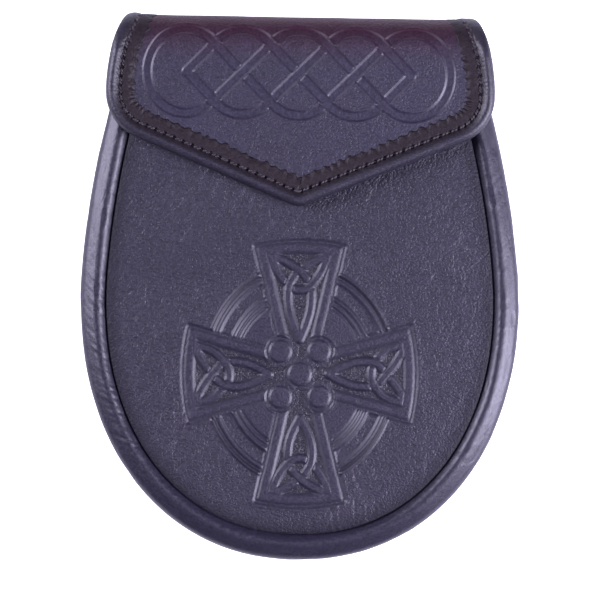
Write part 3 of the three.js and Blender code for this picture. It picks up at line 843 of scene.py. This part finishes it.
def back_panel_rings():
    """Rows of the back panel from the mouth to the foot, its outer face rolled in at the edge."""
    seam_x, seam_y = seam_half_width(BACK_PANEL_INSET)
    y = (seam_y[0] + np.geomspace(0.02, MOUTH_Y - seam_y[0], 110))[::-1, None]
    width = np.interp(y, seam_y, seam_x)
    x = width * np.sin(np.linspace(-1, 1, 120) * math.pi / 2)
    from_edge = width - np.abs(x)
    noise = Noise(SEED + 4)
    swell = 0.12 * noise(x / 19.0, y / 23.0) + 0.04 * noise(x / 6.0, y / 6.0)
    z = BACK_PANEL_Z + 0.15 + 0.7 * np.clip(1 - from_edge / 2.5, 0, 1) ** 2 + swell
    inner = points_at(x[:, ::-1], y, BACK_PANEL_Z + BACK_PANEL_THICK)
    # Mask for painted shade: the back panel darkens towards its edge by the seam.
    edge = np.clip(1 - from_edge / SEAM_SHADE_WIDTH, 0, 1)
    rings = np.concatenate([points_at(x, y, z), inner], axis=1)
    return rings, {"seam_painted_shading": np.concatenate([edge, edge[:, ::-1]], axis=1)}


# A strap loop: its feet lie against the back panel and its middle stands off it for the strap
LOOP_X = 33.0
LOOP_HALF_WIDTH = 12.5
LOOP_HALF_THICK = 1.0
LOOP_PATH = (
    # y, z of the strip's middle
    (24.0, 5.3), (30.2, 5.3), (32.0, 4.6), (34.6, 1.9), (36.6, 1.3), (40.0, 1.2), (56.0, 1.2),
    (59.4, 1.3), (61.4, 1.9), (64.0, 4.6), (65.8, 5.3), (72.0, 5.3),
)
LOOP_AROUND = 72
LOOP_STITCH_ROWS = (26.2, 29.0, 67.0, 69.8)
LOOP_STITCH_Z = 4.25
BACK_STITCH_PITCH = 3.2
BACK_STITCH_HALF_LENGTH = 1.25
TONGUE_STITCH_Y = 79.3
TONGUE_STITCH_Z = 3.65


def loop_rings(centre_x):
    """Rings of one strap loop along its path, with rounded edges and a little wave."""
    path = resample(curve_through(LOOP_PATH, 10), 110)
    normal = line_inward(path)
    angle = np.linspace(0.0, 2 * math.pi, LOOP_AROUND, endpoint=False)
    # a flat strip's section: the circle's points spread out over its width
    spread = np.clip(np.cos(angle) * 3.0, -1, 1) * (LOOP_HALF_WIDTH - LOOP_HALF_THICK)
    across = np.cos(angle) * LOOP_HALF_THICK + spread
    lift = np.clip(np.sin(angle) * 1.6, -1, 1) * LOOP_HALF_THICK
    noise = Noise(SEED + 5)
    away = lift + 0.12 * noise(path[:, :1] / 7.0 + centre_x, across / 9.0)
    y, z = path.T[:, :, None] + normal.T[:, :, None] * away
    edge = smoothstep(LOOP_HALF_WIDTH - 2.2, LOOP_HALF_WIDTH, np.abs(across))
    rings = points_at(centre_x + across, y, np.maximum(z, TABLE_CLEARANCE))
    return rings, {"edge": np.broadcast_to(edge, y.shape)}


def back_stitch_skin(name):
    """Stitches through the feet of the strap loops and through the flap's tongue."""
    mesh_build = bmesh.new()
    rows = [
        (side * LOOP_X, LOOP_HALF_WIDTH - 2.0, y, LOOP_STITCH_Z)
        for side in (-1, 1)
        for y in LOOP_STITCH_ROWS
    ]
    rows.append((0.0, FLAP_TONGUE[-1][0] - 4.0, TONGUE_STITCH_Y, TONGUE_STITCH_Z))
    for centre_x, reach, y, z in rows:
        count = int(2 * reach / BACK_STITCH_PITCH)
        for x in np.linspace(centre_x - reach, centre_x + reach, count + 1):
            add_stitch(mesh_build, BACK_STITCH_HALF_LENGTH, lambda a, b, c: (x + a, y + b, z + c))
    bmesh.ops.recalc_face_normals(mesh_build, faces=mesh_build.faces)
    return finish_mesh(name, mesh_build)


def node_maker(tree):
    """A maker for the nodes of one material; in_ settings give its inputs a value or a link."""

    def add(kind, **settings):
        node = tree.nodes.new(kind)
        for key, value in settings.items():
            if not key.startswith("in_"):
                setattr(node, key, value)
                continue
            socket = node.inputs[int(key[3:]) if key[3:].isdigit() else key[3:]]
            if isinstance(value, bpy.types.NodeSocket):
                tree.links.new(value, socket)
            else:
                socket.default_value = value
        return node

    return add


# Sizes of the leather's texture, as scales of its noises and depths of their relief in metres
PATCH_SCALE = 32.0
GRAIN_SCALE = 1250.0
GRAIN_DEPTH = 0.00055
PORE_SCALE = 1000.0
PORE_DEPTH = 0.0002
CREASE_RELIEF = 0.00038
CREASE_STRETCH = 3.2
CREASE_WAYS = (
    # turn, scale
    (52, 120.0),
    (96, 90.0),
)
# A place that is rubbed, tooled, dyed, or given painted shade or painted light: its mask, its colour and
# how strong that is, what it adds to the roughness, and the shares of the grain and of the shine that it
# takes away
Field = namedtuple("Field", "mask colour strength roughness smoothing dulling", defaults=(0.0, 0.0, 0.0))


def plain_material(name, **settings):
    """A new material and its shader, with a value for each socket: Base_Color is its Base Color."""
    material = bpy.data.materials.new(name)
    material.use_nodes = True
    shader = material.node_tree.nodes["Principled BSDF"]
    for socket, value in settings.items():
        shader.inputs[socket.replace("_", " ")].default_value = value
    return material, shader


def leather(name, colour, warm, roughness, grain, crease, fields=()):
    """Leather with grain, pores, wrinkles in patches, slow changes of colour, rubbed places, and places of
    painted shade and painted light.
    """
    material, shader = plain_material(name)
    tree = material.node_tree
    add = node_maker(tree)
    place = add("ShaderNodeTexCoord").outputs["Object"]
    masks = [add("ShaderNodeAttribute", attribute_name=row.mask).outputs["Fac"] for row in fields]

    def noise(scale, detail, rough=0.5, at=place):
        return add("ShaderNodeTexNoise", in_Vector=at, in_Scale=scale, in_Detail=detail, in_Roughness=rough)

    def ranged(value, low, high, start=0.0, end=1.0):
        node = add("ShaderNodeMapRange", in_0=value, in_1=low, in_2=high, in_3=start, in_4=end)
        return node.outputs[0]

    def scaled(value, factor, offset=0.0):
        node = add("ShaderNodeMath", operation="MULTIPLY_ADD", in_0=value, in_1=factor, in_2=offset)
        return node.outputs[0]

    def blended(factor, low, high):
        low, high = (end if isinstance(end, bpy.types.NodeSocket) else (*end, 1.0) for end in (low, high))
        return add("ShaderNodeMix", data_type="RGBA", in_0=factor, in_6=low, in_7=high).outputs[2]

    def left_after(column):
        """What the fields leave of 1 when each takes its share away."""
        left = 1.0
        for row, mask in zip(fields, masks):
            left = scaled(left, scaled(mask, -getattr(row, column), 1.0))
        return left

    patches = ranged(noise(PATCH_SCALE, 5.0, 0.62).outputs["Fac"], 0.36, 0.66)
    fine = noise(GRAIN_SCALE, 1.0).outputs["Fac"]
    pores = add("ShaderNodeTexVoronoi", feature="F1", in_Vector=place, in_Scale=PORE_SCALE)

    # creases follow the middle level of a stretched and warped noise, and show in patches alone
    warp = noise(140.0, 3.0).outputs["Color"]
    bend = add("ShaderNodeVectorMath", operation="MULTIPLY_ADD", in_0=warp, in_1=(0.004,) * 3, in_2=place)
    reliefs = []
    for turn, scale in CREASE_WAYS:
        slant = add(
            "ShaderNodeMapping", vector_type="TEXTURE", in_Vector=bend.outputs[0],
            in_Rotation=(0.0, 0.0, math.radians(turn)), in_Scale=(CREASE_STRETCH, 1.0, 1.0),
        )
        drift = noise(scale, 2.0, at=slant.outputs[0]).outputs["Fac"]
        away = add("ShaderNodeMath", operation="ABSOLUTE", in_0=scaled(drift, 1.0, -0.5)).outputs[0]
        furrow = scaled(scaled(ranged(away, 0.0, 0.06), 1.0, -1.0), patches)
        reliefs.append((furrow, crease, CREASE_RELIEF))
    reliefs += [(fine, grain, GRAIN_DEPTH), (pores.outputs["Distance"], grain * 0.5, PORE_DEPTH)]

    kept = left_after("smoothing")
    normal = None
    for height, strength, depth in reliefs:
        shown = scaled(kept, strength)
        relief = add("ShaderNodeBump", in_Distance=depth, in_Height=height, in_Strength=shown)
        if normal is not None:
            tree.links.new(normal, relief.inputs["Normal"])
        normal = relief.outputs[0]
    tree.links.new(normal, shader.inputs["Normal"])

    tone = blended(patches, colour, warm)
    gloss = scaled(fine, 0.2, roughness - 0.1)
    for row, mask in zip(fields, masks):
        tone = blended(scaled(mask, row.strength), tone, row.colour)
        gloss = scaled(mask, row.roughness, gloss)
    mottle = ranged(fine, 0.34, 0.66, 0.72, 1.28)
    speckled = add("ShaderNodeVectorMath", operation="SCALE", in_0=tone, in_Scale=mottle)
    tree.links.new(speckled.outputs[0], shader.inputs["Base Color"])
    tree.links.new(gloss, shader.inputs["Roughness"])
    if any(row.dulling for row in fields):
        tree.links.new(scaled(left_after("dulling"), 0.5), shader.inputs["Specular IOR Level"])
    return material


def thread_skin(name, colour):
    """Waxed thread, one colour all over."""
    return leather(name, colour, colour, roughness=0.5, grain=0.3, crease=0.0)


class PouchColours(bpy.types.PropertyGroup):
    """Colours of the leathers and the thread."""

    body: FloatVectorProperty(
        name="Body leather", description="Colour of the panels and gusset", subtype="COLOR",
        size=3, min=0, max=1, default=(0.0134, 0.0120, 0.0232),
    )
    body_warm: FloatVectorProperty(
        name="Body leather, warm patches", description="Colour of its browner patches", subtype="COLOR",
        size=3, min=0, max=1, default=(0.0170, 0.0142, 0.0258),
    )
    flap: FloatVectorProperty(
        name="Flap leather", description="Colour of the flap", subtype="COLOR",
        size=3, min=0, max=1, default=(0.0205, 0.0175, 0.0345),
    )
    binding: FloatVectorProperty(
        name="Binding leather", description="Colour of the bound edge", subtype="COLOR",
        size=3, min=0, max=1, default=(0.012, 0.0085, 0.012),
    )
    thread: FloatVectorProperty(
        name="Thread", description="Colour of the stitches", subtype="COLOR",
        size=3, min=0, max=1, default=(0.030, 0.024, 0.032),
    )


class PouchSizes(bpy.types.PropertyGroup):
    """Fineness of the meshes, and the height of the camera."""

    gusset_rows: IntProperty(
        name="Gusset rows", description="Rings of the gusset along the outline", default=760, min=60
    )
    binding_rows: IntProperty(
        name="Binding rows", description="Rings of the binding along the flap's edge", default=1100, min=60
    )
    camera_height: FloatProperty(
        name="Camera height", description="Height of the camera over the pouch", default=1.6,
        min=0.5, unit="LENGTH",
    )


class SPORRAN_OT_gusset(bpy.types.Operator):
    """Side and bottom wall with its rolls and gathers"""

    bl_idname = "sporran.gusset"
    bl_label = "Gusset"

    def execute(self, context):
        colours = context.scene.sporran_colours
        rows = context.scene.sporran_sizes.gusset_rows
        piece = sweep_skin("gusset_leather", *gusset_rings(rows))
        skin = leather(
            "gusset_hide", colours.body, colours.body_warm, roughness=0.42, grain=0.12, crease=0.25,
            fields=(
                # painted light: a lighter colour in the crevice by the seam, against its shade
                Field("seam_painted_shading", (0.018, 0.016, 0.028), 0.8),
                Field("ridge", (0.019, 0.017, 0.030), 0.3, 0.0, 0.3),
            ),
        )
        dress(piece, skin, "pouch_leather", "gusset")
        return {"FINISHED"}


class SPORRAN_OT_front_panel(bpy.types.Operator):
    """Front panel with its tooled ringed cross"""

    bl_idname = "sporran.front_panel"
    bl_label = "Front panel"

    def execute(self, context):
        colours = context.scene.sporran_colours
        piece = sweep_skin("front_panel_leather", *panel_rings())
        skin = leather(
            "front_panel_hide", colours.body, colours.body_warm, roughness=0.47, grain=0.58, crease=0.38,
            fields=(
                Field("stipple", (0.008, 0.007, 0.012), 0.55, 0.0, -0.5, 0.1),
                # painted shade towards the seam, where the gusset's roll shades the panel
                Field("seam_painted_shading", (0.006, 0.005, 0.009), 0.7, 0.1, 0.2, 0.5),
                Field("smooth", (0.021, 0.019, 0.034), 0.5, -0.02, 0.45),
                Field("tooled", (0.012, 0.010, 0.019), 0.3, 0.0, 0.9),
            ),
        )
        dress(piece, skin, "pouch_leather", "front_panel")
        return {"FINISHED"}


class SPORRAN_OT_flap(bpy.types.Operator):
    """Flap with its tooled interlace"""

    bl_idname = "sporran.flap"
    bl_label = "Flap"

    def execute(self, context):
        colours = context.scene.sporran_colours
        piece = sweep_skin("flap_leather", *flap_rings())
        skin = leather(
            "flap_hide", colours.flap, colours.body_warm, roughness=0.46, grain=0.48, crease=0.25,
            fields=(
                Field("smooth", (0.022, 0.019, 0.036), 0.5, -0.04, 0.5),
                Field("tooled", (0.013, 0.010, 0.019), 0.3, 0.0, 0.9),
                Field("fold", (0.029, 0.0058, 0.0125), 0.97, 0.05, 0.3, 0.5),
            ),
        )
        dress(piece, skin, "flap_leather", "flap")
        return {"FINISHED"}


class SPORRAN_OT_binding(bpy.types.Operator):
    """Dark strip round the flap's edge, and the stitches that hold it"""

    bl_idname = "sporran.binding"
    bl_label = "Flap binding"

    def execute(self, context):
        colours = context.scene.sporran_colours
        rows = context.scene.sporran_sizes.binding_rows
        piece = sweep_skin("flap_binding_leather", *binding_rings(rows))
        skin = leather(
            "binding_hide", colours.binding, (0.014, 0.009, 0.012), roughness=0.48, grain=0.35, crease=0.15,
            fields=(
                # painted shade: the needle holes are coloured near black, for the shade inside them
                Field("hole_with_painted_shade", (0.002, 0.0015, 0.003), 0.95, 0.2, 0.0, 0.9),
                Field("field", (0.0115, 0.0068, 0.0092), 0.85, 0.08, 0.0, 0.45),
                Field("rim", (0.017, 0.015, 0.026), 0.8, -0.03, 0.3),
            ),
        )
        dress(piece, skin, "binding_leather", "flap_binding")
        thread = thread_skin("waxed_thread", colours.thread)
        dress(stitch_skin("binding_stitches"), thread, "binding_leather")
        return {"FINISHED"}


class SPORRAN_OT_back(bpy.types.Operator):
    """Back panel, strap loops with their stitches, and the hidden stud"""

    bl_idname = "sporran.back"
    bl_label = "Back and fittings"

    def execute(self, context):
        colours = context.scene.sporran_colours
        skin = leather(
            "back_hide", colours.body, colours.body_warm, roughness=0.46, grain=0.6, crease=0.4,
            # painted shade towards the seam
            fields=(Field("seam_painted_shading", (0.004, 0.0035, 0.006), 0.75, 0.12, 0.2, 0.5),),
        )
        piece = sweep_skin("back_panel_leather", *back_panel_rings())
        dress(piece, skin, "pouch_leather", "back_panel")
        skin = leather(
            "strap_loop_hide", colours.body, colours.body_warm, roughness=0.44, grain=0.5, crease=0.3,
            fields=(Field("edge", (0.010, 0.007, 0.010), 0.7, -0.06, 0.4),),
        )
        for side, centre_x in (("left", -LOOP_X), ("right", LOOP_X)):
            piece = sweep_skin(f"strap_loop_{side}_leather", *loop_rings(centre_x))
            dress(piece, skin, "pouch_leather", f"strap_loop_{side}")
        thread = thread_skin("back_thread", colours.thread)
        dress(back_stitch_skin("back_stitches"), thread, "pouch_leather")
        brass = {"Base_Color": (0.30, 0.20, 0.09, 1), "Metallic": 1.0, "Roughness": 0.4}
        metal, _ = plain_material("dull_brass", **brass)
        stud_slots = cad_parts["flap_stud"].data.materials
        stud_slots.clear()
        stud_slots.append(metal)
        return {"FINISHED"}


class SPORRAN_OT_stage(bpy.types.Operator):
    """Pale floor, soft lights and the camera over the pouch"""

    bl_idname = "sporran.stage"
    bl_label = "Stage"

    def execute(self, context):
        scene = context.scene
        mesh_build = bmesh.new()
        bmesh.ops.create_grid(mesh_build, x_segments=1, y_segments=1, size=3.0)
        floor = finish_mesh("floor", mesh_build, smooth=False)
        paint, shader = plain_material(
            "pale_floor", Base_Color=(0.92, 0.92, 0.92, 1), Roughness=0.9,
            Specular_IOR_Level=0.1, Emission_Color=(1, 1, 1, 1),
        )
        add = node_maker(paint.node_tree)
        seen = add("ShaderNodeLightPath").outputs["Is Camera Ray"]
        glow = add("ShaderNodeMath", operation="MULTIPLY", in_0=seen, in_1=0.9)
        paint.node_tree.links.new(glow.outputs[0], shader.inputs["Emission Strength"])
        floor.data.materials.append(paint)

        def lamp(name, place, size, power):
            """A soft box aimed at the pouch."""
            light = bpy.data.lights.new(name, "AREA")
            light.shape = "RECTANGLE"
            light.size, light.size_y = size
            light.energy = power
            light.color = (0.80, 0.76, 1.0)
            softbox = placed_object(name, light)
            softbox.location = place
            aim = Vector((0, 0, 0.02)) - Vector(place)
            softbox.rotation_euler = aim.to_track_quat("-Z", "Y").to_euler()

        lamp("left_softbox", (-1.3, 0.42, 0.84), (0.77, 1.2), 50.0)
        lamp("right_softbox", (0.72, -0.18, 0.46), (0.42, 0.65), 19.8)
        lamp("top_fill", (0.6, 0.05, 1.3), (0.7, 0.4), 3.7)

        world = bpy.data.worlds.new("studio")
        world.use_nodes = True
        background = world.node_tree.nodes["Background"]
        background.inputs["Color"].default_value = (0.85, 0.82, 1.0, 1)
        background.inputs["Strength"].default_value = 0.08
        scene.world = world
        scene.view_settings.view_transform = "Standard"

        camera = bpy.data.cameras.new("camera")
        eye = placed_object("camera", camera)
        height = scene.sporran_sizes.camera_height
        eye.location = (0.0001, -0.00573, height + 0.02)
        camera.lens = camera.sensor_width * height / (PHOTO_PIXELS * MM_PER_PHOTO_PIXEL * MM)
        camera.clip_start = 0.05
        camera.clip_end = 10.0
        scene.camera = eye
        return {"FINISHED"}


class SPORRAN_PT_sidebar(bpy.types.Panel):
    bl_label = "Sporran pouch"
    bl_idname = "SPORRAN_PT_sidebar"
    bl_space_type = "VIEW_3D"
    bl_region_type = "UI"
    bl_category = "Sporran"

    def draw(self, context):
        for group in (context.scene.sporran_sizes, context.scene.sporran_colours):
            for name in group.__annotations__:
                self.layout.prop(group, name)
        for maker in MAKERS:
            self.layout.operator(maker.bl_idname)


MAKERS = (
    SPORRAN_OT_stage,
    SPORRAN_OT_gusset,
    SPORRAN_OT_front_panel,
    SPORRAN_OT_flap,
    SPORRAN_OT_binding,
    SPORRAN_OT_back,
)
CLASSES = (PouchSizes, PouchColours, *MAKERS, SPORRAN_PT_sidebar)


def register():
    """Makes the settings, operators and panel known to Blender."""
    for item in CLASSES:
        bpy.utils.register_class(item)
    bpy.types.Scene.sporran_sizes = PointerProperty(type=PouchSizes)
    bpy.types.Scene.sporran_colours = PointerProperty(type=PouchColours)


def unregister():
    """Takes them out again."""
    del bpy.types.Scene.sporran_sizes
    del bpy.types.Scene.sporran_colours
    for item in reversed(CLASSES):
        bpy.utils.unregister_class(item)


def main():
    """Builds the stage and every piece."""
    register()
    for maker in MAKERS:
        group, name = maker.bl_idname.split(".")
        getattr(getattr(bpy.ops, group), name)()


if __name__ == "__main__":
    main()
